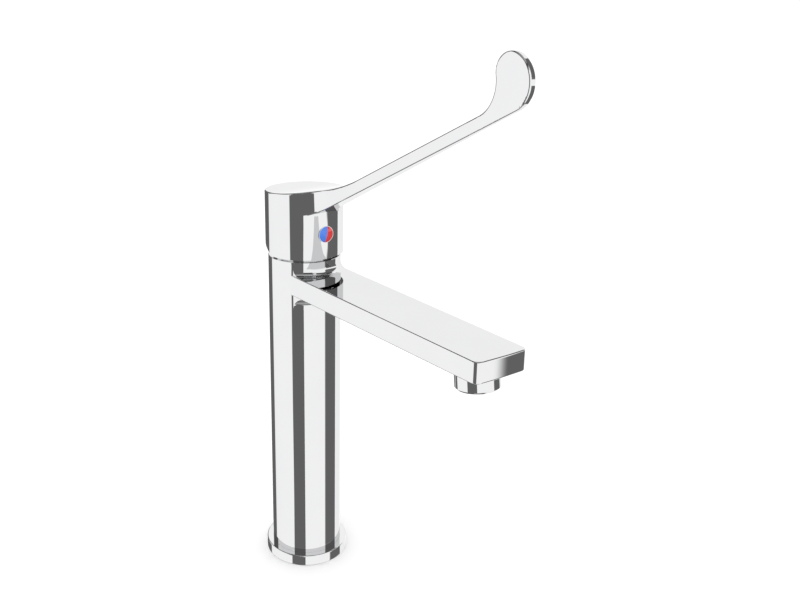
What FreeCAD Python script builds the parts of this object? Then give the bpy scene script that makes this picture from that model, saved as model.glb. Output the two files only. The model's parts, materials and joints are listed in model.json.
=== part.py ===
import FreeCAD, Part
import math
import os

os.makedirs("parts", exist_ok=True)

# Basin mixer tap: a tall column with a straight spout and a long paddle lever.
# Millimetres. Origin: the column's axis at the underside of the base ring.
# +Z goes up the column and +X along the spout and the closed lever.

V = FreeCAD.Vector
UP = V(0, 0, 1)
AXIS_Y = V(0, 1, 0)

# Column and base
column_r = 24.0
column_wall = 2.8
column_top = 219.6
ring_r = 28.3
ring_height = 7.6
ring_shoulder = 3.4        # the foot stands on this inner step of the ring
ring_bore_r = 19.5
ring_edge = 0.6
seal_inner_r = 22.4
seal_outer_r = 25.7
seal_thickness = 1.6
foot_fit = 0.03            # between the column and the ring round it
foot_cord_r = 0.6
foot_groove_z = 4.7
foot_wall = 2.2
block_height = 20.0
block_fit = 0.03
circlip_thickness = 1.2
circlip_width = 1.7
circlip_groove = 0.8
circlip_ledge = 0.8        # from the foot's end to the circlip
circlip_gap = 9.0
slip_fit = 0.1             # loose parts that only slip together
thread_fit = 0.05          # between the plain cylinders that stand for threads
seal_fit = 0.03            # between a rubber ring and the faces it seals

# Water inlets and the fixing stud
inlet_x = -2.0
inlet_y = 7.4
inlet_thread_r = 4.5       # M10 x 1, at its tapping size
inlet_thread_depth = 10.0
stud_x = 11.0
stud_thread_r = 3.4        # M8, at its tapping size
stud_thread_depth = 16.0
riser_r = 4.0
riser_bore_r = 3.2
riser_socket_depth = 4.5
riser_fit = 0.03
riser_cord_r = 0.5
riser_seal_inset = 2.2     # from a socket's mouth to the middle of its seal

# Spout
spout_top = column_top - 8.8
spout_thickness_root = 13.6
spout_thickness_tip = 12.0
spout_length = 185.2
spout_half_width_root = 19.55
spout_half_width_tip = 17.75
spout_end_r = 400.0
spout_corner_r = 4.0
spout_edge = 0.9
spout_wall = 2.4
spout_fillet = 4.5         # between the column and the spout's top
spout_under_fillet = 10.0  # and its underside
cut_reach = 5.0            # how far a cutting shape reaches past what it cuts

# Cartridge chamber in the head of the column
seat_z = column_top - 7.6
chamber_r = 12.6
chamber_wall = 1.9
chamber_top = column_top + 10.8
head_wall = 3.0            # between the water space round the chamber and the column's top

# Waterways under the chamber's floor
web_bottom = seat_z - 22.0
web_thickness = 9.5
plenum_roof = seat_z - 3.5
port_r = 1.7
port_x = 3.9
port_y = 2.9
port_wall = 2.3
outlet_r = 2.4
outlet_x = -3.6

# Cartridge
pivot_z = column_top + 13.9
cartridge_fit = 0.1
base_plate_h = 5.0
base_step = 1.5            # how far the housing reaches down over the base
peg_r = 1.2
peg_depth = 2.0
peg_x = -8.8
peg_y = 3.0
seal_cord = 1.0
seal_band = 1.0
disc_r = 10.6
fixed_disc_h = 3.0
moving_disc_h = 2.6
moving_disc_r = 7.4
pocket_h = 1.2
pocket_r = 2.9
pocket_reach = 6.6
pocket_half_width = 4.0
pocket_step = 1.4
carrier_h = 4.0
carrier_half_width = 5.6
housing_wall = 1.5
housing_top = chamber_top + 1.2
rotor_flange_r = 10.7
rotor_flange_h = 2.4
rotor_neck_r = 8.4
rotor_top = pivot_z + 4.5
rotor_fit = 0.05
rotor_gap = 0.2
rotor_groove = 1.1
rotor_groove_h = 1.3
rotor_groove_inset = 0.5
pin_r = 1.5
pin_fit = 0.03
nut_flats = 32.0
nut_flange = 2.2
nut_height = 9.5
nut_bore_gap = 0.6
nut_chamfer = 1.2

# Dome that covers the nut, seen through the gap behind the cap
cover_r = 20.8
cover_wall = 0.9
cover_round_r = 4.6
register_h = 2.6
register_cord_r = 0.5
register_groove_z = 0.8    # from the column's top up to the groove

# Stem
stem_square = 7.0
stem_top = rotor_top + 17.0
stem_neck = 6.0
stem_lift = 2.0            # from the rotor's top up to the square
stem_ball_r = 2.2
stem_shank_r = 1.7
ball_drop = 8.0            # from the pivot pin to the centre of the stem's ball
ball_fit = 0.12
tilt_deg = 20.0            # how far the lever lifts

# Handle: cap
cap_r = 25.65
cap_gap = 1.9              # between the column's top and the cap's rim
cap_bottom = column_top + cap_gap
cap_wall = 2.2
rear_cut_x = 1.5           # behind this the rim slants up, so that the cap can tilt
rear_cut_deg = 24.0
cap_roof = stem_top + 1.5
boss_r = 8.6
boss_bottom = rotor_top + 3.8
sleeve_wall = 1.6
sleeve_roof = 1.2
sleeve_fit = 0.05

# Handle: top line, from the gentle slope of the cap to the slope of the lever
top_z = cap_roof + 6.6
top_slope = 0.03
lever_top_slope = 0.4954
lever_top_z = top_z - 15.3   # height of the lever's top line, carried back to the axis
top_blend_r = 170.0
under_slope = 0.5
under_z = top_z - 23.65      # height of the lever's underside, carried back to the axis

# Handle: lever in plan
root_fillet_r = 20.3
root_azimuth = 34.2
blade_half_width = 2.05
blade_start = 165.0
blade_bend_r = 900.0       # rounds the slight bend where the blade's sides become parallel
handle_edge = 1.0

# Handle: paddle, in side view
paddle_neck_r = 18.5
paddle_neck_x = 171.2
paddle_top_x = 180.4
paddle_top_z = top_z + 86.4
paddle_low_x = 179.0       # centre of the large circle that the paddle's front follows

# Grub screw and marker
marker_z = pivot_z + 4.2
marker_turn_deg = 11.0     # the line between the halves leans, its top towards the hot side
marker_r = 5.4
marker_fit = 0.05
marker_floor = 0.5
marker_seat = 1.4
marker_dome = 1.1
marker_proud = 0.1
marker_rim = 0.25
marker_spigot_r = 2.9
marker_spigot = 3.0
screw_tilt_deg = 20.0
screw_r = 2.5
screw_length = 8.0
screw_socket_r = 1.45
screw_socket_depth = 3.5
screw_fit = 0.03
screw_gap = 0.15
lug_r = 5.0
access_r = 3.1

# Aerator
aerator_inset = 18.6       # from the spout's end back to the aerator's axis
aerator_drop = 0.24        # from the spout's underside down to the zero of its axis
aerator_tilt_deg = 7.0
aerator_r = 12.1
aerator_visible = 11.2
aerator_chamfer = 1.1
aerator_thread_r = 10.4
aerator_thread_h = 6.4
aerator_recess = 1.6       # how far its ring sinks into the spout at its axis
aerator_wall = 1.5
aerator_fit = 0.05
aerator_lip = 1.2          # how far the outlet's lip reaches in under the insert
aerator_lip_h = 1.6
aerator_end_gap = 0.8      # from the housing's end to the bottom of the threaded hole
outlet_boss_wall = 3.2
washer_h = 0.75
washer_reach = 2.9
limiter_h = 1.6
limiter_hole_r = 1.1
limiter_holes = 6
limiter_circle_r = 5.2
insert_wall = 1.2
insert_plate_h = 3.0
insert_plate_z = 3.5       # from the screen's top up to the plate with the jets
insert_hole_r = 0.8
insert_pitch = 3.2
insert_rows = 2            # rows of jets on each side of the middle one
screen_h = 0.5
screen_rim = 0.8
insert_fit = 0.1
rest_fit = 0.02            # between flat pieces stacked in the aerator
grid_bar = 0.8
grid_pitch = 2.6


def cylinder(radius, z0, z1, x=0.0, y=0.0):
    return Part.makeCylinder(radius, z1 - z0, V(x, y, z0), UP)


def tube(outer, inner, z0, z1, x=0.0, y=0.0):
    return cylinder(outer, z0, z1, x, y).cut(cylinder(inner, z0 - 1, z1 + 1, x, y))


def box(x0, x1, y0, y1, z0, z1):
    return Part.makeBox(x1 - x0, y1 - y0, z1 - z0, V(x0, y0, z0))


def cord_ring(radius, cord_r, z, x=0.0, y=0.0):
    return Part.makeTorus(radius, cord_r, V(x, y, z), UP)


def revolve(edges):
    face = Part.Face(Part.Wire(edges))
    return face.revolve(V(0, 0, 0), UP, 360)


def lines(points):
    return [Part.makeLine(a, b) for a, b in zip(points[:-1], points[1:])]


def arc(a, middle, b):
    return Part.Arc(a, middle, b).toShape()


def on_circle(centre, radius, degrees, flat):
    """A point on a circle; flat is "plan" for the XY plane and "side" for XZ."""
    angle = math.radians(degrees)
    along = radius * math.cos(angle)
    across = radius * math.sin(angle)
    if flat == "plan":
        return V(centre[0] + along, centre[1] + across, 0)
    return V(centre[0] + along, 0, centre[1] + across)


def circle_arc(centre, radius, start, end, flat):
    points = [on_circle(centre, radius, a, flat) for a in (start, (start + end) / 2, end)]
    return arc(*points)


def one_solid(shape):
    """The single solid of a boolean's result."""
    clean = shape.removeSplitter()
    return clean.Solids[0] if len(clean.Solids) == 1 else clean


def edges_where(shape, test):
    return [e for e in shape.Edges if test(e)]


def save(name, shape):
    """Writes one piece and prints what it is made of."""
    bounds = shape.BoundBox
    print("%-22s solids %d valid %s volume %.1f  z %.2f..%.2f" % (
        name, len(shape.Solids), shape.isValid(), shape.Volume, bounds.ZMin, bounds.ZMax))
    shape.exportStep("parts/%s.step" % name)


# Heights that follow from the sizes above
foot_r = column_r - foot_wall
column_bore_r = column_r - column_wall
block_bottom = ring_shoulder + circlip_ledge + circlip_thickness
block_top = block_bottom + block_height
port_top = block_bottom + inlet_thread_depth
web_top = web_bottom + web_thickness
riser_bottom = block_top - riser_socket_depth
riser_top = web_bottom + riser_socket_depth
chamber_outer_r = chamber_r + chamber_wall
base_plate_top = seat_z + base_plate_h
disc_top = base_plate_top + fixed_disc_h
slider_z = disc_top + moving_disc_h
carrier_top = slider_z + carrier_h
ball_z = pivot_z - ball_drop
rotor_bottom = carrier_top + rotor_gap
rotor_flange_top = rotor_bottom + rotor_flange_h
housing_r = chamber_r - cartridge_fit
nut_top = housing_top + nut_flange
rotor_seal_z = rotor_flange_top + rotor_groove_inset + rotor_groove_h / 2
aerator_x = spout_length - aerator_inset
aerator_z = spout_top - spout_thickness_root - aerator_drop
aerator_z += aerator_x * (spout_thickness_root - spout_thickness_tip) / spout_length
aerator_bore_r = aerator_thread_r - aerator_wall
aerator_floor = -aerator_visible + aerator_lip_h
cover_bore_r = cover_r - cover_wall
register_r = cover_bore_r - slip_fit
register_seal_r = cover_bore_r - seal_fit - register_cord_r
cover_top = nut_top + slip_fit + cover_wall


# Body

def spout_half_width(x):
    slope = (spout_half_width_tip - spout_half_width_root) / spout_length
    return spout_half_width_root + slope * x


def spout_underside(x):
    slope = (spout_thickness_root - spout_thickness_tip) / spout_length
    return spout_top - spout_thickness_root + slope * x


def spout_plan(inset, x0, x1, end_r, top):
    """The spout's outline seen from above, as a tall block with its sides drawn in by inset."""
    half0 = spout_half_width(x0) - inset
    half1 = spout_half_width(x1) - inset
    sag = end_r - math.sqrt(end_r ** 2 - half1 ** 2)
    near = [V(x0, -half0, 0), V(x1 - sag, -half1, 0)]
    far = [V(x1 - sag, half1, 0), V(x0, half0, 0)]
    wire = Part.Wire([Part.makeLine(near[0], near[1]),
                      arc(near[1], V(x1, 0, 0), far[0]),
                      Part.makeLine(far[0], far[1]),
                      Part.makeLine(far[1], near[0])])
    return Part.Face(wire).extrude(V(0, 0, top))


def spout_block(inset, x0, x1, top, under_offset, end_r):
    """The spout between x0 and x1, with its sides drawn in by inset."""
    block = spout_plan(inset, x0, x1, end_r, top + cut_reach)
    reach = 2 * spout_half_width_root
    back = x0 - cut_reach
    front = x1 + cut_reach
    corner = V(back, -reach, spout_underside(back) + under_offset)
    side = Part.makePolygon([corner,
                             V(front, -reach, spout_underside(front) + under_offset),
                             V(front, -reach, top),
                             V(back, -reach, top),
                             corner])
    return block.common(Part.Face(side).extrude(V(0, 2 * reach, 0)))


def rounded_spout():
    spout = spout_block(0, 0, spout_length, spout_top, 0, spout_end_r)

    def at_end(e):
        box_e = e.BoundBox
        return box_e.XMin > spout_length - 3 and box_e.ZLength > 5
    spout = spout.makeFillet(spout_corner_r, edges_where(spout, at_end))

    def rim(e):
        box_e = e.BoundBox
        flat = box_e.ZLength < 2
        return flat and box_e.XMax > spout_length / 2
    return spout.makeFillet(spout_edge, edges_where(spout, rim))


def tilted(shape):
    """Turns a piece of the aerator, built upright on its axis, to its place in the spout."""
    placed = shape.copy()
    placed.rotate(V(0, 0, 0), AXIS_Y, -aerator_tilt_deg)
    placed.translate(V(aerator_x, 0, aerator_z))
    return placed


def inlet_way(side, radius):
    """The slanting way from a riser tube up to its port in the cartridge seat."""
    low = V(inlet_x, side * inlet_y, riser_top - 1)
    high = V(port_x, side * port_y, seat_z)
    way = high - low
    past = V(way).normalize() * 1.5
    whole = Part.makeCylinder(radius, way.Length + past.Length, low, way)
    if radius > port_r:
        return whole
    return whole.fuse(cylinder(radius, seat_z - 2.0, seat_z + 1, port_x, side * port_y))


def riser_groove(z, side):
    """Groove for a riser tube's seal, around height z."""
    half = riser_cord_r + seal_fit
    outer = riser_r + 2 * riser_cord_r + 2 * seal_fit
    return tube(outer, riser_r, z - half, z + half, inlet_x, side * inlet_y)


def junction_fillet(z, r, way):
    """The fillet between the column and the spout's top (way 1) or underside (way -1)."""
    lift = way * r
    centre = (column_r + r, z + lift)
    start = V(column_r, 0, z + lift)
    end = V(column_r + r, 0, z)
    middle = on_circle(centre, r, 180 + way * 45, "side")
    sunk = z - way * 0.3
    inside = [end, V(end.x, 0, sunk), V(column_bore_r + 1, 0, sunk), V(column_bore_r + 1, 0, z + lift), start]
    ring = revolve([arc(start, middle, end)] + lines(inside))
    return ring.common(spout_plan(spout_edge, 5, spout_length, spout_end_r, column_top + 10))


def make_body():
    column = cylinder(column_r, ring_shoulder, column_top)
    shell = column.fuse(rounded_spout())
    shell = shell.fuse(junction_fillet(spout_top, spout_fillet, 1))
    under = spout_underside(column_r + spout_under_fillet)
    shell = one_solid(shell.fuse(junction_fillet(under, spout_under_fillet, -1)))

    def top_rim(e):
        return e.BoundBox.ZMin > column_top - 0.1
    shell = shell.makeChamfer(0.25, edges_where(shell, top_rim))

    # Foot, long hollow and plenum
    cuts = [cylinder(foot_r, ring_shoulder - 1, block_top)]
    cuts.append(tube(foot_r + circlip_groove, foot_r - 1, ring_shoulder + circlip_ledge, block_bottom))
    cuts.append(cylinder(column_bore_r, block_top - 0.5, web_bottom))
    plenum = cylinder(column_bore_r, web_top, plenum_roof)
    for side in (-1, 1):
        plenum = plenum.cut(inlet_way(side, port_r + port_wall))
    channel = spout_block(spout_wall, column_bore_r - 3, spout_length - spout_wall - 1,
                          plenum_roof, spout_wall, spout_end_r)
    boss = tilted(cylinder(aerator_thread_r + outlet_boss_wall, -10, aerator_thread_h + aerator_end_gap - 0.2))
    cuts.append(plenum)
    cuts.append(tube(column_bore_r, chamber_outer_r, plenum_roof - 1, column_top - head_wall))
    cuts.append(channel.cut(boss))
    cuts.append(tilted(cylinder(aerator_thread_r + aerator_fit, -10, aerator_thread_h + aerator_end_gap)))
    cuts.append(tilted(cylinder(aerator_r + slip_fit, -10, aerator_recess)))

    # Ports, outlet and peg holes in the seat
    for side in (-1, 1):
        cuts.append(cylinder(riser_r + riser_fit, web_bottom - 1, riser_top, inlet_x, side * inlet_y))
        cuts.append(riser_groove(web_bottom + riser_seal_inset, side))
        cuts.append(inlet_way(side, port_r))
        cuts.append(cylinder(peg_r + slip_fit, seat_z - peg_depth - 0.3, seat_z + 1, peg_x, side * peg_y))
    cuts.append(cylinder(outlet_r, plenum_roof - 1, seat_z + 1, outlet_x, 0))

    # Register for the cover, with its seal's groove, and the threaded neck of the chamber
    shell = shell.fuse(cylinder(register_r, column_top - 1, column_top + register_h))
    shell = shell.fuse(cylinder(chamber_outer_r, column_top - 1, chamber_top))
    groove_z = column_top + register_groove_z
    groove_r = register_seal_r - register_cord_r - seal_fit
    cuts.append(tube(cover_bore_r, groove_r, groove_z, groove_z + 2 * (register_cord_r + seal_fit)))
    cuts.append(cylinder(chamber_r, seat_z, chamber_top + 1))
    for cut in cuts:
        shell = shell.cut(cut)
    return shell.Solids[0]


# Base

def make_base_ring():
    ring = tube(ring_r, ring_bore_r, 0, ring_height)

    def outer_edge(e):
        circle = e.Curve.TypeId == "Part::GeomCircle"
        return circle and abs(e.Curve.Radius - ring_r) < 0.01
    ring = ring.makeFillet(ring_edge, edges_where(ring, outer_edge))
    ring = ring.cut(cylinder(column_r + foot_fit, ring_shoulder, ring_height + 1))
    ring = ring.cut(tube(seal_outer_r, seal_inner_r, -1, seal_thickness))
    cord = 2 * (foot_cord_r + seal_fit)
    groove = tube(column_r + cord, column_r, foot_groove_z, foot_groove_z + cord)
    return one_solid(ring.cut(groove))


def make_foot_ring():
    middle = foot_cord_r + seal_fit
    return cord_ring(column_r + middle, foot_cord_r, foot_groove_z + middle)


def make_inlet_block():
    block = cylinder(foot_r - block_fit, block_bottom, block_top)
    for side in (-1, 1):
        y = side * inlet_y
        block = block.cut(cylinder(inlet_thread_r, block_bottom - 1, port_top, inlet_x, y))
        block = block.cut(cylinder(riser_bore_r, port_top - 1, block_top + 1, inlet_x, y))
        block = block.cut(cylinder(riser_r + riser_fit, riser_bottom, block_top + 1, inlet_x, y))
        block = block.cut(riser_groove(block_top - riser_seal_inset, side))
    block = block.cut(cylinder(stud_thread_r, block_bottom - 1, block_bottom + stud_thread_depth, stud_x, 0))

    def rim(e):
        circle = e.Curve.TypeId == "Part::GeomCircle"
        return circle and e.Curve.Radius > foot_r - 1
    return one_solid(block.makeChamfer(0.4, edges_where(block, rim)))


def make_circlip():
    z0 = ring_shoulder + circlip_ledge
    outer = foot_r + circlip_groove - slip_fit
    ring = tube(outer, outer - circlip_width, z0, z0 + circlip_thickness)
    gap = box(-outer - 1, 0, -circlip_gap / 2, circlip_gap / 2, z0 - 1, z0 + circlip_thickness + 1)
    return one_solid(ring.cut(gap))


def make_riser(side):
    y = side * inlet_y
    return tube(riser_r, riser_bore_r, riser_bottom + 0.1, riser_top - 0.1, inlet_x, y)


def make_riser_rings():
    radius = riser_r + seal_fit + riser_cord_r
    rings = []
    for side in (-1, 1):
        for z in (block_top - riser_seal_inset, web_bottom + riser_seal_inset):
            rings.append(cord_ring(radius, riser_cord_r, z, inlet_x, side * inlet_y))
    return Part.makeCompound(rings)


# Cartridge

def port_places():
    """Centre and radius of the two inlet ports and the outlet port."""
    return [(port_x, -port_y, port_r), (port_x, port_y, port_r), (outlet_x, 0.0, outlet_r)]


def seal_rings(z0, z1):
    rings = []
    for x, y, radius in port_places():
        rings.append(tube(radius + seal_band, radius + 0.05, z0, z1, x, y))
    return rings


def make_cartridge_base():
    plate = cylinder(housing_r, seat_z, base_plate_top)
    for x, y, radius in port_places():
        plate = plate.cut(cylinder(radius, seat_z - 1, base_plate_top + 1, x, y))
        plate = plate.cut(cylinder(radius + seal_band + 0.05, seat_z - 1, seat_z + seal_cord, x, y))
        plate = plate.cut(cylinder(radius + seal_band + 0.05, base_plate_top - seal_cord,
                                   base_plate_top + 1, x, y))
    for side in (-1, 1):
        plate = plate.fuse(cylinder(peg_r, seat_z - peg_depth, seat_z + 0.5, peg_x, side * peg_y))
    step = tube(housing_r + 1, housing_r - housing_wall, base_plate_top - base_step, base_plate_top + 1)
    return one_solid(plate.cut(step))


def make_fixed_disc():
    disc = cylinder(disc_r, base_plate_top, disc_top)
    for x, y, radius in port_places():
        disc = disc.cut(cylinder(radius, base_plate_top - 1, disc_top + 1, x, y))
    return one_solid(disc)


def make_moving_disc():
    disc = cylinder(moving_disc_r, disc_top, slider_z)
    pocket = cylinder(pocket_reach, disc_top - 1, disc_top + pocket_h)
    behind = box(-20, -pocket_step, -pocket_half_width, pocket_half_width,
                 disc_top - 1, disc_top + pocket_h)
    pocket = pocket.common(behind).fuse(cylinder(pocket_r, disc_top - 1, disc_top + pocket_h))
    return one_solid(disc.cut(pocket))


def make_carrier():
    plate = cylinder(moving_disc_r, slider_z, carrier_top)
    flats = box(-20, 20, -carrier_half_width, carrier_half_width, slider_z - 1, carrier_top + 1)
    plate = plate.common(flats)
    socket_r = stem_ball_r + ball_fit
    plate = plate.cut(cylinder(socket_r, ball_z - socket_r, carrier_top + 1))

    def mouth(e):
        circle = e.Curve.TypeId == "Part::GeomCircle"
        low = e.BoundBox.ZMin > carrier_top - 0.1
        return circle and low and e.Curve.Radius < socket_r + 0.1
    return one_solid(plate.makeChamfer(0.4, edges_where(plate, mouth)))


def make_housing():
    shell = cylinder(housing_r, base_plate_top - base_step, housing_top)
    inside = cylinder(rotor_flange_r + rotor_fit, base_plate_top - 2, rotor_flange_top + rotor_gap)
    shell = shell.cut(inside)
    over_base = housing_r - housing_wall + slip_fit
    shell = shell.cut(cylinder(over_base, base_plate_top - base_step - 1, base_plate_top + slip_fit))
    return one_solid(shell.cut(cylinder(rotor_neck_r + rotor_fit, housing_top - 5, housing_top + 1)))


def make_rotor():
    flange = cylinder(rotor_flange_r, rotor_bottom, rotor_flange_top)
    neck = cylinder(rotor_neck_r, rotor_flange_top - 0.5, rotor_top)
    rotor = flange.fuse(neck)
    groove = tube(rotor_neck_r + 1, rotor_neck_r - rotor_groove,
                  rotor_seal_z - rotor_groove_h / 2, rotor_seal_z + rotor_groove_h / 2)
    rotor = rotor.cut(groove)

    # Guide cheeks that hold the carrier square to the stem
    cheek = cylinder(rotor_flange_r, slider_z + rotor_gap, rotor_bottom + 0.5)
    guide = carrier_half_width + slip_fit
    cheeks = cheek.cut(box(-20, 20, -guide, guide, slider_z, rotor_bottom + 1))
    rotor = rotor.fuse(cheeks)

    # Slot for the tilting stem, wider towards both ends
    reach = math.tan(math.radians(tilt_deg))
    half = stem_neck / 2 + 0.25
    slant = 1.0 / math.cos(math.radians(tilt_deg))
    low = rotor_bottom - 1
    high = rotor_top + 1
    rear_high = -half * slant - reach * (high - pivot_z)
    front_low = half * slant + reach * (pivot_z - low)
    slot = Part.makePolygon([V(-half, -half, low), V(front_low, -half, low),
                             V(half * slant, -half, pivot_z), V(half, -half, high),
                             V(rear_high, -half, high), V(-half * slant, -half, pivot_z),
                             V(-half, -half, low)])
    rotor = rotor.cut(Part.Face(slot).extrude(V(0, 2 * half, 0)))
    hole = Part.makeCylinder(pin_r + pin_fit, 4 * rotor_neck_r, V(0, -2 * rotor_neck_r, pivot_z), AXIS_Y)
    return one_solid(rotor.cut(hole))


def make_rotor_ring():
    """Fills the groove up to the housing's bore, but for the seal's fit on both sides."""
    cord = (rotor_groove + rotor_fit) / 2 - seal_fit
    return cord_ring(rotor_neck_r - rotor_groove + seal_fit + cord, cord, rotor_seal_z)


def make_pin():
    half = math.sqrt(rotor_neck_r ** 2 - pin_r ** 2) - slip_fit
    return Part.makeCylinder(pin_r, 2 * half, V(0, -half, pivot_z), AXIS_Y)


def make_nut():
    z1 = nut_top
    z0 = nut_top - nut_height
    radius = nut_flats / math.sqrt(3)
    corners = [V(radius * math.cos(math.radians(60 * i)), radius * math.sin(math.radians(60 * i)), z0)
               for i in range(7)]
    hexagon = Part.Face(Part.makePolygon(corners)).extrude(V(0, 0, z1 - z0))
    corner = radius + 0.05
    flat_r = nut_flats / 2
    profile = [V(0, 0, z0), V(flat_r, 0, z0), V(corner, 0, z0 + nut_chamfer),
               V(corner, 0, z1 - nut_chamfer), V(flat_r, 0, z1), V(0, 0, z1), V(0, 0, z0)]
    nut = hexagon.common(revolve(lines(profile)))
    nut = nut.cut(cylinder(chamber_outer_r + thread_fit, z0 - 1, housing_top))
    return one_solid(nut.cut(cylinder(rotor_neck_r + nut_bore_gap, z0 - 1, z1 + 1)))


def make_cover():
    """Dome over the nut: a round shell with a hole for the rotor, standing on the column's top."""
    def shell_profile(radius, round_r, top):
        centre = (radius - round_r, top - round_r)
        side = V(radius, 0, centre[1])
        crown = V(centre[0], 0, top)
        return [Part.makeLine(V(0, 0, column_top), V(radius, 0, column_top)),
                Part.makeLine(V(radius, 0, column_top), side),
                circle_arc(centre, round_r, 0, 90, "side"),
                Part.makeLine(crown, V(0, 0, top)),
                Part.makeLine(V(0, 0, top), V(0, 0, column_top))]
    outside = revolve(shell_profile(cover_r, cover_round_r, cover_top))
    inside = revolve(shell_profile(cover_bore_r, cover_round_r - cover_wall, cover_top - cover_wall))
    return one_solid(outside.cut(inside).cut(cylinder(rotor_neck_r + nut_bore_gap, column_top, cover_top + 1)))


def make_cover_ring():
    middle = column_top + register_groove_z + register_cord_r + seal_fit
    return cord_ring(register_seal_r, register_cord_r, middle)


# Stem and handle

def make_stem():
    half = stem_square / 2
    neck = stem_neck / 2
    square_bottom = rotor_top + stem_lift
    stem = box(-half, half, -half, half, square_bottom, stem_top)

    def long_edge(e):
        return e.BoundBox.ZLength > 5
    stem = stem.makeChamfer(0.5, edges_where(stem, long_edge))
    stem = stem.fuse(box(-neck, neck, -neck, neck, pivot_z - neck, square_bottom))
    shank_top = pivot_z - neck + 0.5
    stem = stem.fuse(cylinder(stem_shank_r, ball_z, shank_top))
    stem = stem.fuse(Part.makeSphere(stem_ball_r, V(0, 0, ball_z)))
    hole = Part.makeCylinder(pin_r + pin_fit, 20, V(0, -10, pivot_z), AXIS_Y)
    return one_solid(stem.cut(hole))


def screw_axis(distance):
    """A point on the inclined axis of the grub screw, measured inwards from the marker."""
    angle = math.radians(screw_tilt_deg)
    return V(cap_r - distance * math.cos(angle), 0, marker_z + distance * math.sin(angle))


def along_screw(radius, start, end):
    a = screw_axis(start)
    b = screw_axis(end)
    return Part.makeCylinder(radius, end - start, a, b - a)


def screw_end():
    """How far in along its axis the grub screw's tip comes."""
    angle = math.radians(screw_tilt_deg)
    face = stem_square / 2 + screw_gap
    return (cap_r - face - screw_r * math.sin(angle)) / math.cos(angle)


def make_sleeve():
    hole = stem_square / 2 + sleeve_fit
    outer = hole + sleeve_wall
    z0 = boss_bottom
    z1 = stem_top + sleeve_fit
    sleeve = box(-outer, outer, -outer, outer, z0, z1 + sleeve_roof)

    def long_edge(e):
        return e.BoundBox.ZLength > 5
    sleeve = sleeve.makeFillet(sleeve_wall / 2, edges_where(sleeve, long_edge))
    sleeve = sleeve.cut(box(-hole, hole, -hole, hole, z0 - 1, z1))
    window = along_screw(screw_r + 2 * slip_fit, 0, screw_end() + 2)
    return one_solid(sleeve.cut(window))


def rear_cut():
    """What is taken off the cap's rim behind its front part, as a wide wedge."""
    reach = 2 * cap_r
    rise = reach * math.tan(math.radians(rear_cut_deg))
    side = Part.makePolygon([V(rear_cut_x, -reach, cap_bottom), V(rear_cut_x - reach, -reach, cap_bottom),
                             V(rear_cut_x - reach, -reach, cap_bottom + rise),
                             V(rear_cut_x, -reach, cap_bottom)])
    return Part.Face(side).extrude(V(0, 2 * reach, 0))


def top_line():
    """Edges of the handle's top line in side view, from the back of the cap to the lever."""
    meet_x = (top_z - lever_top_z) / (lever_top_slope - top_slope)
    meet = V(meet_x, 0, top_z + top_slope * meet_x)
    a0 = math.atan(top_slope)
    a1 = math.atan(lever_top_slope)
    reach = top_blend_r * math.tan((a1 - a0) / 2)
    start = V(meet.x - reach * math.cos(a0), 0, meet.z - reach * math.sin(a0))
    end = V(meet.x + reach * math.cos(a1), 0, meet.z + reach * math.sin(a1))
    centre = (start.x - top_blend_r * math.sin(a0), start.z + top_blend_r * math.cos(a0))
    back = V(-cap_r - 10, 0, top_z + top_slope * (-cap_r - 10))
    blend = circle_arc(centre, top_blend_r, math.degrees(a0) - 90, math.degrees(a1) - 90, "side")
    return back, start, blend, end


def front_circle_r(crown, crown_r):
    """Radius of the circle round the paddle's front that touches the crown's circle from outside
    it and the lever's underside."""
    slant = math.sqrt(1 + under_slope ** 2)
    across = crown[0] - paddle_low_x
    up = crown[1] - under_z - under_slope * paddle_low_x
    half = up * slant - crown_r
    rest = across ** 2 + up ** 2 - crown_r ** 2
    return (half - math.sqrt(half ** 2 - under_slope ** 2 * rest)) / under_slope ** 2


def paddle_outline(start):
    """Edges from the lever's top line round the paddle to its underside."""
    slope = math.atan(lever_top_slope)
    neck_x = paddle_neck_x - paddle_neck_r
    neck_z = lever_top_z + lever_top_slope * neck_x + paddle_neck_r / math.cos(slope)
    neck = (neck_x, neck_z)
    crown = (paddle_top_x, paddle_top_z)
    apart = math.hypot(crown[0] - neck[0], crown[1] - neck[1])
    crown_r = apart - paddle_neck_r
    between = math.degrees(math.atan2(crown[1] - neck[1], crown[0] - neck[0]))
    under = math.atan(under_slope)
    low_r = front_circle_r(crown, crown_r)
    low = (paddle_low_x, under_z + under_slope * paddle_low_x + low_r / math.cos(under))

    neck_start = math.degrees(slope) - 90
    edges = [Part.makeLine(start, on_circle(neck, paddle_neck_r, neck_start, "side"))]
    edges.append(circle_arc(neck, paddle_neck_r, neck_start, between, "side"))

    heading = math.degrees(math.atan2(crown[1] - low[1], crown[0] - low[0]))
    edges.append(circle_arc(crown, crown_r, between + 180, heading, "side"))
    low_end = math.degrees(under) - 90
    edges.append(circle_arc(low, low_r, heading, low_end, "side"))
    return edges, on_circle(low, low_r, low_end, "side")


def lever_side():
    """The lever and paddle in side view, as a wide slab."""
    back, start, blend, end = top_line()
    inside_x = cap_r - 2 * cap_wall
    corner = V(inside_x, 0, under_z + under_slope * inside_x)
    edges, low_end = paddle_outline(end)
    top_back = V(start.x, 0, start.z)
    outline = [Part.makeLine(V(start.x, 0, corner.z), top_back), blend]
    outline += edges
    outline.append(Part.makeLine(low_end, corner))
    outline.append(Part.makeLine(corner, V(start.x, 0, corner.z)))
    face = Part.Face(Part.Wire(outline))
    slab = face.extrude(V(0, 4 * cap_r, 0))
    slab.translate(V(0, -2 * cap_r, 0))
    return slab


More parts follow.
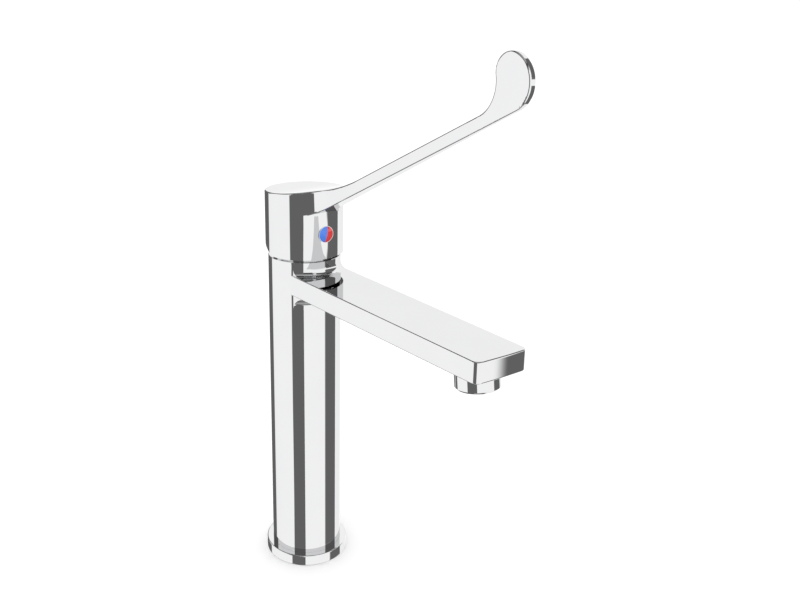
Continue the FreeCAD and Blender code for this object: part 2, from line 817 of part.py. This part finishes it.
def lever_plan():
    """The lever seen from above, as a tall block, with its fillets to the cap."""
    away = cap_r + root_fillet_r
    near = []
    centre = (away * math.cos(math.radians(root_azimuth)), -away * math.sin(math.radians(root_azimuth)))
    touch = V(cap_r * math.cos(math.radians(root_azimuth)), -cap_r * math.sin(math.radians(root_azimuth)), 0)
    blade = V(blade_start, -blade_half_width, 0)
    to_blade = math.hypot(blade.x - centre[0], blade.y - centre[1])
    heading = math.degrees(math.atan2(blade.y - centre[1], blade.x - centre[0]))
    leave = heading + math.degrees(math.acos(root_fillet_r / to_blade))
    near.append(circle_arc(centre, root_fillet_r, 180 - root_azimuth, leave, "plan"))
    taper_start = on_circle(centre, root_fillet_r, leave, "plan")
    tip = V(paddle_low_x + cap_r, -blade_half_width, 0)
    bend = math.atan2(blade.y - taper_start.y, blade.x - taper_start.x)
    bend_start = 90 + math.degrees(bend)
    bend_centre = (blade_start + blade_bend_r * math.tan(bend / 2), -blade_half_width - blade_bend_r)
    bend_points = [on_circle(bend_centre, blade_bend_r, angle, "plan") for angle in (bend_start, 90)]
    near.append(Part.makeLine(taper_start, bend_points[0]))
    near.append(circle_arc(bend_centre, blade_bend_r, bend_start, 90, "plan"))
    near.append(Part.makeLine(bend_points[1], tip))
    far = []
    for edge in near:
        far.append(edge.mirror(V(0, 0, 0), V(0, 1, 0)))
    tip_far = V(tip.x, -tip.y, 0)
    touch_far = V(touch.x, -touch.y, 0)
    back = [Part.makeLine(touch, V(0, touch.y, 0)), Part.makeLine(V(0, touch.y, 0), V(0, -touch.y, 0)),
            Part.makeLine(V(0, -touch.y, 0), touch_far)]
    wire = Part.Wire(Part.sortEdges(near + [Part.makeLine(tip, tip_far)] + far + back)[0])
    block = Part.Face(wire).extrude(V(0, 0, 2 * (paddle_top_z - cap_bottom)))
    block.translate(V(0, 0, cap_bottom))
    return block


def below_top_line():
    """Everything under the handle's top line, as a wide slab."""
    back, start, blend, end = top_line()
    floor = cap_bottom - 5
    outline = [Part.makeLine(back, start), blend, Part.makeLine(end, V(end.x, 0, floor)),
               Part.makeLine(V(end.x, 0, floor), V(back.x, 0, floor)),
               Part.makeLine(V(back.x, 0, floor), back)]
    slab = Part.Face(Part.Wire(outline)).extrude(V(0, 4 * cap_r, 0))
    slab.translate(V(0, -2 * cap_r, 0))
    return slab


def make_handle():
    cap = cylinder(cap_r, cap_bottom, paddle_top_z).common(below_top_line())
    lever = lever_plan().common(lever_side())
    handle = one_solid(cap.fuse(lever))

    def crisp(e):
        """The outer edges of the cap's top, the lever and the paddle."""
        bounds = e.BoundBox
        if bounds.ZMax < cap_roof:
            return False
        return len(handle.ancestorsOfType(e, Part.Face)) == 2 and is_sharp(handle, e)
    handle = handle.makeFillet(handle_edge, edges_where(handle, crisp))

    hollow = cylinder(cap_r - cap_wall, cap_bottom - 1, cap_roof)
    keep = cylinder(boss_r, boss_bottom, cap_roof + 1)
    lug = along_screw(lug_r, 0.5, cap_r)
    keep = keep.fuse(lug.common(cylinder(cap_r - cap_wall / 2, cap_bottom, cap_roof + 1)))
    handle = handle.cut(hollow.cut(keep)).cut(rear_cut())
    hole = stem_square / 2 + sleeve_fit + sleeve_wall + sleeve_fit
    roof = stem_top + 2 * sleeve_fit + sleeve_roof
    socket = box(-hole, hole, -hole, hole, rotor_top, roof)
    handle = handle.cut(socket)

    # Marker seat, spigot hole and the inclined screw hole
    seat = Part.makeCylinder(marker_r + marker_fit, marker_seat + 5, V(cap_r - marker_seat, 0, marker_z), V(1, 0, 0))
    spigot = Part.makeCylinder(marker_spigot_r + slip_fit, marker_spigot + 2,
                               V(cap_r - marker_seat - marker_spigot - 0.2, 0, marker_z), V(1, 0, 0))
    handle = handle.cut(seat).cut(spigot)
    handle = handle.cut(along_screw(access_r, marker_seat + 1, screw_end() - screw_length))
    return one_solid(handle.cut(along_screw(screw_r + screw_fit, marker_seat + 1, screw_end() + 3)))


def is_sharp(shape, edge):
    """True where the two faces beside an edge meet at an angle."""
    faces = shape.ancestorsOfType(edge, Part.Face)
    middle = edge.valueAt((edge.FirstParameter + edge.LastParameter) / 2)
    normals = []
    for face in faces:
        u, v = face.Surface.parameter(middle)
        normals.append(face.normalAt(u, v))
    return normals[0].getAngle(normals[1]) > math.radians(12)


def make_screw():
    end = screw_end()
    screw = along_screw(screw_r, end - screw_length, end)
    socket = along_screw(screw_socket_r, end - screw_length - 1, end - screw_length + screw_socket_depth)
    return one_solid(screw.cut(socket))


def make_marker():
    """Plug with a rim, and the two coloured halves that fill it."""
    back = cap_r - marker_seat
    face_x = cap_r + marker_proud
    out = V(1, 0, 0)
    plug = Part.makeCylinder(marker_r, face_x - back, V(back, 0, marker_z), out)
    plug = plug.cut(Part.makeCylinder(marker_r - marker_rim, 5, V(back + marker_floor, 0, marker_z), out))
    plug = plug.fuse(Part.makeCylinder(marker_spigot_r, marker_spigot,
                                       V(back - marker_spigot, 0, marker_z), out))
    dome_half = marker_r - marker_rim
    sphere_r = (dome_half ** 2 + marker_dome ** 2) / (2 * marker_dome)
    fill = Part.makeCylinder(dome_half, 6, V(back + marker_floor, 0, marker_z), out)
    fill = fill.common(Part.makeSphere(sphere_r, V(face_x + marker_dome - sphere_r, 0, marker_z)))
    low = marker_z - 2 * marker_r
    high = marker_z + 2 * marker_r
    cold = fill.common(box(0, 2 * cap_r, -2 * marker_r, 0, low, high))
    hot = fill.common(box(0, 2 * cap_r, 0, 2 * marker_r, low, high))
    for half in (cold, hot):
        half.rotate(V(0, 0, marker_z), V(1, 0, 0), -marker_turn_deg)
    return one_solid(plug), one_solid(cold), one_solid(hot)


# Aerator, built upright with z 0 at the spout's underside

def make_aerator_housing():
    low = -aerator_visible
    ring_top = aerator_recess - slip_fit
    profile = [V(0, 0, low), V(aerator_r - aerator_chamfer, 0, low),
               V(aerator_r, 0, low + aerator_chamfer), V(aerator_r, 0, ring_top),
               V(aerator_thread_r, 0, ring_top), V(aerator_thread_r, 0, aerator_thread_h),
               V(0, 0, aerator_thread_h), V(0, 0, low)]
    shell = revolve(lines(profile))
    shell = shell.cut(cylinder(aerator_bore_r, aerator_floor, aerator_thread_h + 1))
    return shell.cut(cylinder(aerator_bore_r - insert_wall - aerator_lip, low - 1, aerator_floor + 1))


def make_aerator_insert():
    """Sleeve with a plate of small holes that part the water into jets."""
    outer = aerator_bore_r - insert_fit
    high = aerator_thread_h - limiter_h
    insert = tube(outer, outer - insert_wall, aerator_floor, high)
    plate_z = aerator_floor + screen_h + insert_plate_z
    plate = cylinder(outer - insert_wall / 2, plate_z, plate_z + insert_plate_h)
    for row in range(-insert_rows, insert_rows + 1):
        for column in range(-insert_rows, insert_rows + 1):
            x = row * insert_pitch
            y = column * insert_pitch
            if math.hypot(x, y) + insert_hole_r < outer - insert_wall:
                plate = plate.cut(cylinder(insert_hole_r, aerator_floor, high, x, y))
    return insert.fuse(plate)


def make_aerator_screen():
    """Crossed bars, standing for the fine mesh at the outlet."""
    radius = aerator_bore_r - insert_wall - 2 * insert_fit
    low = aerator_floor + rest_fit
    rim = tube(radius, radius - screen_rim, low, low + screen_h)
    bars = []
    count = int(2 * radius / grid_pitch)
    for i in range(count + 1):
        at = -radius + (2 * radius - count * grid_pitch) / 2 + i * grid_pitch
        bars.append(box(at - grid_bar / 2, at + grid_bar / 2, -radius, radius, low, low + screen_h))
        bars.append(box(-radius, radius, at - grid_bar / 2, at + grid_bar / 2, low, low + screen_h))
    grid = bars[0].fuse(bars[1:]).common(cylinder(radius, low, low + screen_h))
    return one_solid(rim.fuse(grid))


def make_flow_limiter():
    high = aerator_thread_h
    disc = cylinder(aerator_bore_r - insert_fit, high - limiter_h + rest_fit, high)
    for i in range(limiter_holes):
        angle = 2 * math.pi * i / limiter_holes
        x = limiter_circle_r * math.cos(angle)
        y = limiter_circle_r * math.sin(angle)
        disc = disc.cut(cylinder(limiter_hole_r, high - limiter_h, high + 1, x, y))
    return disc


def make_aerator_washer():
    outer = aerator_thread_r - slip_fit
    low = aerator_thread_h + rest_fit
    return tube(outer, outer - washer_reach, low, low + washer_h)


save("tap_body", make_body())
save("base_ring", make_base_ring())
save("base_seal", tube(seal_outer_r - seal_fit, seal_inner_r + seal_fit, 0, seal_thickness))
save("foot_o_ring", make_foot_ring())
save("inlet_block", make_inlet_block())
save("inlet_block_circlip", make_circlip())
save("cold_riser_tube", make_riser(-1))
save("hot_riser_tube", make_riser(1))
save("riser_o_rings", make_riser_rings())
save("cartridge_base", make_cartridge_base())
save("cartridge_port_seals", Part.makeCompound(seal_rings(seat_z, seat_z + seal_cord)))
save("disc_port_seals", Part.makeCompound(seal_rings(base_plate_top - seal_cord, base_plate_top)))
save("fixed_disc", make_fixed_disc())
save("cartridge_housing", make_housing())
save("cartridge_nut", make_nut())
save("nut_cover", make_cover())
save("nut_cover_ring", make_cover_ring())
save("aerator_housing", tilted(make_aerator_housing()))
save("aerator_washer", tilted(make_aerator_washer()))
save("flow_limiter", tilted(make_flow_limiter()))
save("aerator_insert", tilted(make_aerator_insert()))
save("aerator_screen", tilted(make_aerator_screen()))
save("rotor", make_rotor())
save("rotor_o_ring", make_rotor_ring())
save("pivot_pin", make_pin())
save("disc_carrier", make_carrier())
save("moving_disc", make_moving_disc())
save("lever_handle", make_handle())
save("stem", make_stem())
save("stem_sleeve", make_sleeve())
save("grub_screw", make_screw())
marker_plug, marker_cold, marker_hot = make_marker()
save("marker_plug", marker_plug)
save("marker_cold_half", marker_cold)
save("marker_hot_half", marker_hot)
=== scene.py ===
import bpy
import json
import math
from mathutils import Matrix, Vector

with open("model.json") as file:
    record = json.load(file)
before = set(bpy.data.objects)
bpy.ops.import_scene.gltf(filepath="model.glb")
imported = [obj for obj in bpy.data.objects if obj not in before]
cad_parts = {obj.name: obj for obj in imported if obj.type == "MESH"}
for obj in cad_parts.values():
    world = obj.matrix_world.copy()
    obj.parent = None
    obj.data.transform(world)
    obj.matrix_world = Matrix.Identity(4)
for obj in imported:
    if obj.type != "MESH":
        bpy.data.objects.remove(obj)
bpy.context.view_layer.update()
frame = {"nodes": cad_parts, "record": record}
nodes = frame["nodes"]

# Camera, worked out from the photograph's edges: metres, and pixels of its frame
PHOTO_PX = (800, 600)
FOCAL_PX = 888.2
AXIS_PX = (328.1, 248.8)           # where the camera's axis meets the picture
CAMERA_AT = Vector((0.4772, -0.3002, 0.3838))
CAMERA_TURN = math.radians(33.75)  # its axis against the X axis, seen from above
CAMERA_PITCH = math.radians(16.01)
CAMERA_AZIMUTH = -32.17            # of the camera's place, in degrees round the column
SENSOR_WIDTH = 36.0                # millimetres

# What the chrome reflects: brightness of the studio's parts
STUDIO_LIGHT = 1.29
PANEL_LEVEL = 0.171
CEILING_LEVEL = 0.09
OVERHEAD_LEVEL = 0.52              # straight above and below, which only high views show
ROOM_LIGHT = 1.22                  # what everything else sees of the studio

# The studio's far dark panels, in degrees: left and right azimuth, counted from the camera's and
# growing to its right, and low and high elevation
FAR_PANELS = [
    (-184, -126, -95, -6),         # behind on the left, low: for the column's left outline
    (-165, -126, -95, 95),         # the part of it that goes all the way up
    (-130, -117.5, 3, 95),         # a strip beside it: for the edges of lever, cap and paddle
    (187, 262, -95, -53),          # far down on the left: for the line under the lever
]
SIDE_SOFTNESS = 1.2
END_SOFTNESS = 3

# Elevations between which the studio goes from light to dark, or the other way, in degrees
CEILING_EDGE = (36.5, 38.5)
RAISED_EDGE = (47, 49)             # of the ceiling, where the rim of the paddle faces it
OVERHEAD_EDGE = (56, 74)
NADIR_EDGE = (-62, -68)            # far down, which rims and the fillet under the spout show
UNDERFOOT_EDGE = (-70, -77)
SECTOR_AZIMUTH = 59.5              # middle of the raised ceiling, counted from the X axis
SECTOR_HALF = (63.5, 65.5)         # half its width, where its end starts and stops

# The near panels, in metres
PANEL_FOOT = -1.3
WING_FOOT = 1.2
PANEL_TOP = 1.49
PANEL_MARGIN = 0.1                 # of clear panel left of the soft edge
GAP_SOFTNESS = 0.015

# Noise: scales of the clouds, detail, and the range that nearly all its values lie in
METAL_CLOUDS = 35.0
PLASTIC_CLOUDS = 160.0
FLOOR_CLOUDS = 3.0
CLOUD_DETAIL = 3.0
FINE_DETAIL = 4.0
NOISE_RANGE = (0.3, 0.7)

FLOOR_REACH = 12.0
KEY_LIGHT_AIM = Vector((0.05, 0, 0.15))

# Places of the Mix node's sockets, which share their names
FLOAT_A, FLOAT_B, FLOAT_RESULT = 2, 3, 0
COLOR_A, COLOR_B, COLOR_RESULT = 6, 7, 2


# Shader nodes
def new_material(name):
    mat = bpy.data.materials.new(name)
    mat.use_nodes = True
    return mat, mat.node_tree


def coordinates(tree, kind="Object"):
    coord = tree.nodes.new("ShaderNodeTexCoord")
    return coord.outputs[kind]


def components(tree, vector):
    """The outputs X, Y and Z of a vector."""
    split = tree.nodes.new("ShaderNodeSeparateXYZ")
    tree.links.new(vector, split.inputs["Vector"])
    return split.outputs


def math_node(tree, kind, *values):
    """The result of one operation on sockets and numbers."""
    node = tree.nodes.new("ShaderNodeMath")
    node.operation = kind
    for i, value in enumerate(values):
        if isinstance(value, bpy.types.NodeSocket):
            tree.links.new(value, node.inputs[i])
        else:
            node.inputs[i].default_value = value
    return node.outputs["Value"]


def step(tree, value, start, end):
    """Goes smoothly from 0 at start to 1 at end."""
    node = tree.nodes.new("ShaderNodeMapRange")
    node.interpolation_type = "SMOOTHSTEP"
    node.inputs["From Min"].default_value = start
    node.inputs["From Max"].default_value = end
    tree.links.new(value, node.inputs["Value"])
    return node.outputs["Result"]


def noise(tree, vector, scale, detail=CLOUD_DETAIL, stretch=None):
    if stretch:
        mapping = tree.nodes.new("ShaderNodeMapping")
        mapping.inputs["Scale"].default_value = stretch
        tree.links.new(vector, mapping.inputs["Vector"])
        vector = mapping.outputs["Vector"]
    node = tree.nodes.new("ShaderNodeTexNoise")
    node.inputs["Scale"].default_value = scale
    node.inputs["Detail"].default_value = detail
    tree.links.new(vector, node.inputs["Vector"])
    return node.outputs["Fac"]


def spread(tree, value, low, high):
    """Maps a noise value onto low..high."""
    node = tree.nodes.new("ShaderNodeMapRange")
    node.inputs["From Min"].default_value = NOISE_RANGE[0]
    node.inputs["From Max"].default_value = NOISE_RANGE[1]
    node.inputs["To Min"].default_value = low
    node.inputs["To Max"].default_value = high
    tree.links.new(value, node.inputs["Value"])
    return node.outputs["Result"]


def shades(tree, value, dark, light):
    """A colour between dark and light."""
    node = tree.nodes.new("ShaderNodeMix")
    node.data_type = "RGBA"
    node.inputs[COLOR_A].default_value = (*dark, 1)
    node.inputs[COLOR_B].default_value = (*light, 1)
    tree.links.new(value, node.inputs["Factor"])
    return node.outputs[COLOR_RESULT]


def bump(tree, shader, height, distance, strength=0.3):
    node = tree.nodes.new("ShaderNodeBump")
    node.inputs["Strength"].default_value = strength
    node.inputs["Distance"].default_value = distance
    tree.links.new(height, node.inputs["Height"])
    tree.links.new(node.outputs["Normal"], shader.inputs["Normal"])


# Materials of the tap
def metal(name, dark, light, rough, grain, depth=1e-5, stretch=None, edge_tint=1.0):
    """Metal with clouded colour, uneven polish and a fine grain. Dark and light are the ends of
    the clouds, rough the least and the greatest roughness, grain the scale of the fine noise and
    depth its height in metres."""
    mat, tree = new_material(name)
    shader = tree.nodes["Principled BSDF"]
    at = coordinates(tree)
    shader.inputs["Metallic"].default_value = 1.0
    shader.inputs["Specular Tint"].default_value = (edge_tint, edge_tint, edge_tint, 1)
    clouds = noise(tree, at, METAL_CLOUDS)
    tree.links.new(shades(tree, clouds, dark, light), shader.inputs["Base Color"])
    fine = noise(tree, at, grain, FINE_DETAIL, stretch)
    tree.links.new(spread(tree, fine, *rough), shader.inputs["Roughness"])
    bump(tree, shader, fine, depth)
    return mat


def plastic(name, dark, light, rough, grain=900.0, depth=2e-5, coat=0.0):
    """Moulded plastic, rubber or ceramic with slight mottling and surface texture."""
    mat, tree = new_material(name)
    shader = tree.nodes["Principled BSDF"]
    at = coordinates(tree)
    clouds = noise(tree, at, PLASTIC_CLOUDS)
    tree.links.new(shades(tree, clouds, dark, light), shader.inputs["Base Color"])
    fine = noise(tree, at, grain, FINE_DETAIL)
    tree.links.new(spread(tree, fine, *rough), shader.inputs["Roughness"])
    shader.inputs["Coat Weight"].default_value = coat
    shader.inputs["Coat Roughness"].default_value = 0.05
    bump(tree, shader, fine, depth, strength=0.2)
    return mat


looks = {
    "chrome": metal("chrome", (0.655, 0.658, 0.665), (0.685, 0.686, 0.69), (0.012, 0.03),
                    grain=260.0, depth=1.2e-6, edge_tint=0.85),
    "brass": metal("turned_brass", (0.66, 0.47, 0.19), (0.80, 0.60, 0.28), (0.22, 0.38),
                   grain=500.0, stretch=(1.0, 1.0, 12.0)),
    "steel": metal("stainless_steel", (0.50, 0.50, 0.51), (0.66, 0.66, 0.66), (0.16, 0.30),
                   grain=700.0),
    "copper": metal("drawn_copper", (0.55, 0.25, 0.13), (0.76, 0.42, 0.27), (0.20, 0.36),
                    grain=400.0, stretch=(12.0, 12.0, 0.6)),
    "rubber": plastic("black_rubber", (0.010, 0.010, 0.010), (0.028, 0.027, 0.026),
                      (0.6, 0.85)),
    "ceramic": plastic("lapped_ceramic", (0.78, 0.76, 0.70), (0.88, 0.87, 0.82), (0.12, 0.22),
                       coat=0.4),
    "cartridge_plastic": plastic("cartridge_plastic", (0.10, 0.105, 0.115),
                                 (0.15, 0.155, 0.165), (0.35, 0.55)),
    "white_plastic": plastic("acetal_plastic", (0.66, 0.66, 0.64), (0.78, 0.78, 0.76),
                             (0.32, 0.50)),
    "limiter_plastic": plastic("limiter_plastic", (0.07, 0.25, 0.11), (0.10, 0.33, 0.15),
                               (0.35, 0.50)),
    "blue_plastic": plastic("cold_mark", (0.03, 0.15, 0.64), (0.05, 0.21, 0.80), (0.10, 0.20),
                            depth=4e-6, coat=0.6),
    "red_plastic": plastic("hot_mark", (0.60, 0.035, 0.035), (0.76, 0.055, 0.055),
                           (0.10, 0.20), depth=4e-6, coat=0.6),
}
for part in frame["record"]["subparts"]:
    mesh = nodes[part["node"]].data
    mesh.materials.clear()
    mesh.materials.append(looks[part["material_slot"]])


# Floor and key light
def plain_floor():
    mesh = bpy.data.meshes.new("floor")
    corners = [(-1, -1), (1, -1), (1, 1), (-1, 1)]
    mesh.from_pydata([(x * FLOOR_REACH, y * FLOOR_REACH, 0) for x, y in corners],
                     [], [(0, 1, 2, 3)])
    floor = bpy.data.objects.new("floor", mesh)
    bpy.context.collection.objects.link(floor)
    mat, tree = new_material("floor_white")
    shader = tree.nodes["Principled BSDF"]
    clouds = noise(tree, coordinates(tree), FLOOR_CLOUDS)
    tree.links.new(shades(tree, clouds, (0.94, 0.94, 0.94), (0.96, 0.96, 0.96)),
                   shader.inputs["Base Color"])
    shader.inputs["Roughness"].default_value = 0.9
    shader.inputs["Specular IOR Level"].default_value = 0.1
    mesh.materials.append(mat)
    floor.visible_glossy = False


def area_light(name, place, aim, size, power):
    data = bpy.data.lights.new(name, "AREA")
    data.shape = "DISK"
    data.size = size
    data.energy = power
    light = bpy.data.objects.new(name, data)
    light.location = place
    light.rotation_euler = (aim - Vector(place)).to_track_quat("-Z", "Y").to_euler()
    light.visible_glossy = False
    bpy.context.collection.objects.link(light)


# The studio that the chrome reflects
def ray_angles(tree):
    """Azimuth from the X axis and elevation of a ray that leaves the scene, in degrees."""
    ray = components(tree, coordinates(tree, "Generated"))
    azimuth = math_node(tree, "ARCTAN2", ray["Y"], ray["X"])
    elevation = math_node(tree, "ARCSINE", ray["Z"])
    return [math_node(tree, "MULTIPLY", angle, 180 / math.pi) for angle in (azimuth, elevation)]


def far_panel(tree, azimuth, elevation, left, right, low, high):
    """How much light a far panel takes away from a ray."""
    middle = (left + right) / 2 + CAMERA_AZIMUTH
    half = (right - left) / 2
    aside = math_node(tree, "WRAP", math_node(tree, "SUBTRACT", azimuth, middle), 180.0, -180.0)
    off = math_node(tree, "ABSOLUTE", aside)
    beside = step(tree, off, half - SIDE_SOFTNESS, half + SIDE_SOFTNESS)
    above = step(tree, elevation, high - END_SOFTNESS, high + END_SOFTNESS)
    over_foot = step(tree, elevation, low - END_SOFTNESS, low + END_SOFTNESS)
    within = math_node(tree, "MULTIPLY", math_node(tree, "SUBTRACT", 1.0, beside),
                       math_node(tree, "SUBTRACT", 1.0, above))
    return math_node(tree, "MULTIPLY", within,
                     math_node(tree, "MULTIPLY", over_foot, STUDIO_LIGHT - PANEL_LEVEL))


def ceiling(tree, azimuth, elevation):
    """How much light the ceiling takes away. It is less dark overhead."""
    aside = math_node(tree, "ABSOLUTE", math_node(tree, "SUBTRACT", azimuth, SECTOR_AZIMUTH))
    beyond = step(tree, aside, *SECTOR_HALF)
    low_ceiling = math_node(tree, "MULTIPLY", step(tree, elevation, *CEILING_EDGE), beyond)
    cover = math_node(tree, "MAXIMUM", low_ceiling, step(tree, elevation, *RAISED_EDGE))
    overhead = math_node(tree, "MULTIPLY", step(tree, elevation, *OVERHEAD_EDGE),
                         OVERHEAD_LEVEL - CEILING_LEVEL)
    return math_node(tree, "MULTIPLY", cover,
                     math_node(tree, "SUBTRACT", STUDIO_LIGHT - CEILING_LEVEL, overhead))


def nadir(tree, elevation):
    """How much light is missing far down. It is less dark straight below."""
    underfoot = math_node(tree, "MULTIPLY", step(tree, elevation, *UNDERFOOT_EDGE),
                          OVERHEAD_LEVEL - PANEL_LEVEL)
    return math_node(tree, "MULTIPLY", step(tree, elevation, *NADIR_EDGE),
                     math_node(tree, "SUBTRACT", STUDIO_LIGHT - PANEL_LEVEL, underfoot))


def studio():
    """A white studio with dark panels and a dark ceiling, which only reflections show."""
    world = bpy.data.worlds.new("studio")
    world.use_nodes = True
    bpy.context.scene.world = world
    tree = world.node_tree
    tree.nodes.clear()
    azimuth, elevation = ray_angles(tree)
    taken_away = [far_panel(tree, azimuth, elevation, *edges) for edges in FAR_PANELS]
    taken_away.append(ceiling(tree, azimuth, elevation))
    taken_away.append(nadir(tree, elevation))
    shade = taken_away[0]
    for other in taken_away[1:]:
        shade = math_node(tree, "MAXIMUM", shade, other)
    seen = math_node(tree, "SUBTRACT", STUDIO_LIGHT, shade)

    paths = tree.nodes.new("ShaderNodeLightPath")
    background = tree.nodes.new("ShaderNodeBackground")
    output = tree.nodes.new("ShaderNodeOutputWorld")
    mix = tree.nodes.new("ShaderNodeMix")
    mix.inputs[FLOAT_A].default_value = ROOM_LIGHT
    tree.links.new(paths.outputs["Is Glossy Ray"], mix.inputs["Factor"])
    tree.links.new(seen, mix.inputs[FLOAT_B])
    tree.links.new(mix.outputs[FLOAT_RESULT], background.inputs["Strength"])
    tree.links.new(background.outputs["Background"], output.inputs["Surface"])
    background.inputs["Color"].default_value = (1, 1, 1, 1)


def near_panel_material(name, edge, gap):
    """Dark, but clear left of the panel's soft edge and between the gap's two heights."""
    mat, tree = new_material(name)
    tree.nodes.clear()
    dark = tree.nodes.new("ShaderNodeEmission")
    dark.inputs["Strength"].default_value = PANEL_LEVEL
    clear = tree.nodes.new("ShaderNodeBsdfTransparent")
    mixed = tree.nodes.new("ShaderNodeMixShader")
    output = tree.nodes.new("ShaderNodeOutputMaterial")
    tree.links.new(clear.outputs["BSDF"], mixed.inputs[1])
    tree.links.new(dark.outputs["Emission"], mixed.inputs[2])
    tree.links.new(mixed.outputs["Shader"], output.inputs["Surface"])
    place = components(tree, coordinates(tree))
    cover = step(tree, place["X"], -edge, edge)
    if gap:
        bottom, top = gap
        below = step(tree, place["Z"], bottom + GAP_SOFTNESS, bottom - GAP_SOFTNESS)
        above = step(tree, place["Z"], top - GAP_SOFTNESS, top + GAP_SOFTNESS)
        cover = math_node(tree, "MULTIPLY", cover, math_node(tree, "MAXIMUM", below, above))
    tree.links.new(cover, mixed.inputs["Fac"])
    return mat


def near_panel(name, left, right, edge=0.01, gap=None, wing=0.0):
    """A dark upright panel between two places on the ground, near enough that the column and the
    spout's end see it in different directions. Its top reaches further right by the wing."""
    left = Vector((*left, 0))
    along = Vector((*right, 0)) - left
    start, end = -PANEL_MARGIN, along.length
    mesh = bpy.data.meshes.new(name)
    mesh.from_pydata([(start, 0, PANEL_FOOT), (end, 0, PANEL_FOOT), (end, 0, WING_FOOT),
                      (start, 0, WING_FOOT), (end + wing, 0, WING_FOOT),
                      (end + wing, 0, PANEL_TOP), (start, 0, PANEL_TOP)],
                     [], [(0, 1, 2, 3), (3, 2, 4, 5, 6)])
    mesh.materials.append(near_panel_material(name, edge, gap))
    panel = bpy.data.objects.new(name, mesh)
    turn = Matrix.Rotation(math.atan2(along.y, along.x), 4, "Z")
    panel.matrix_world = Matrix.Translation(left) @ turn
    bpy.context.collection.objects.link(panel)
    panel.visible_camera = False
    panel.visible_diffuse = False
    panel.visible_shadow = False


# Camera
def photo_camera():
    data = bpy.data.cameras.new("camera")
    data.sensor_fit = "HORIZONTAL"
    data.sensor_width = SENSOR_WIDTH
    data.lens = FOCAL_PX / PHOTO_PX[0] * SENSOR_WIDTH
    data.shift_x = (PHOTO_PX[0] / 2 - AXIS_PX[0]) / PHOTO_PX[0]
    data.shift_y = (AXIS_PX[1] - PHOTO_PX[1] / 2) / PHOTO_PX[0]
    data.clip_start = 0.01
    camera = bpy.data.objects.new("camera", data)
    forward = Vector((-math.cos(CAMERA_TURN) * math.cos(CAMERA_PITCH),
                      math.sin(CAMERA_TURN) * math.cos(CAMERA_PITCH),
                      -math.sin(CAMERA_PITCH)))
    right = Vector((math.sin(CAMERA_TURN), math.cos(CAMERA_TURN), 0))
    up = right.cross(forward)
    facing = Matrix((right, up, -forward)).transposed().to_4x4()
    camera.matrix_world = Matrix.Translation(CAMERA_AT) @ facing
    bpy.context.collection.objects.link(camera)
    bpy.context.scene.camera = camera


plain_floor()
studio()
# Right of the tap, for the column's right stripe, the spout's end and the paddle's rim
near_panel("panel_beside", (0.899, 0.7175), (0.184, 1.135), edge=0.04, gap=(0.17, 0.45), wing=0.10)
# Behind the camera, for the column's middle stripe
near_panel("panel_behind", (0.159, -0.5675), (0.678, -0.495))
area_light("soft_key", (0.9, -0.9, 1.6), KEY_LIGHT_AIM, size=1.2, power=3.0)
photo_camera()
bpy.context.scene.view_settings.view_transform = "Standard"
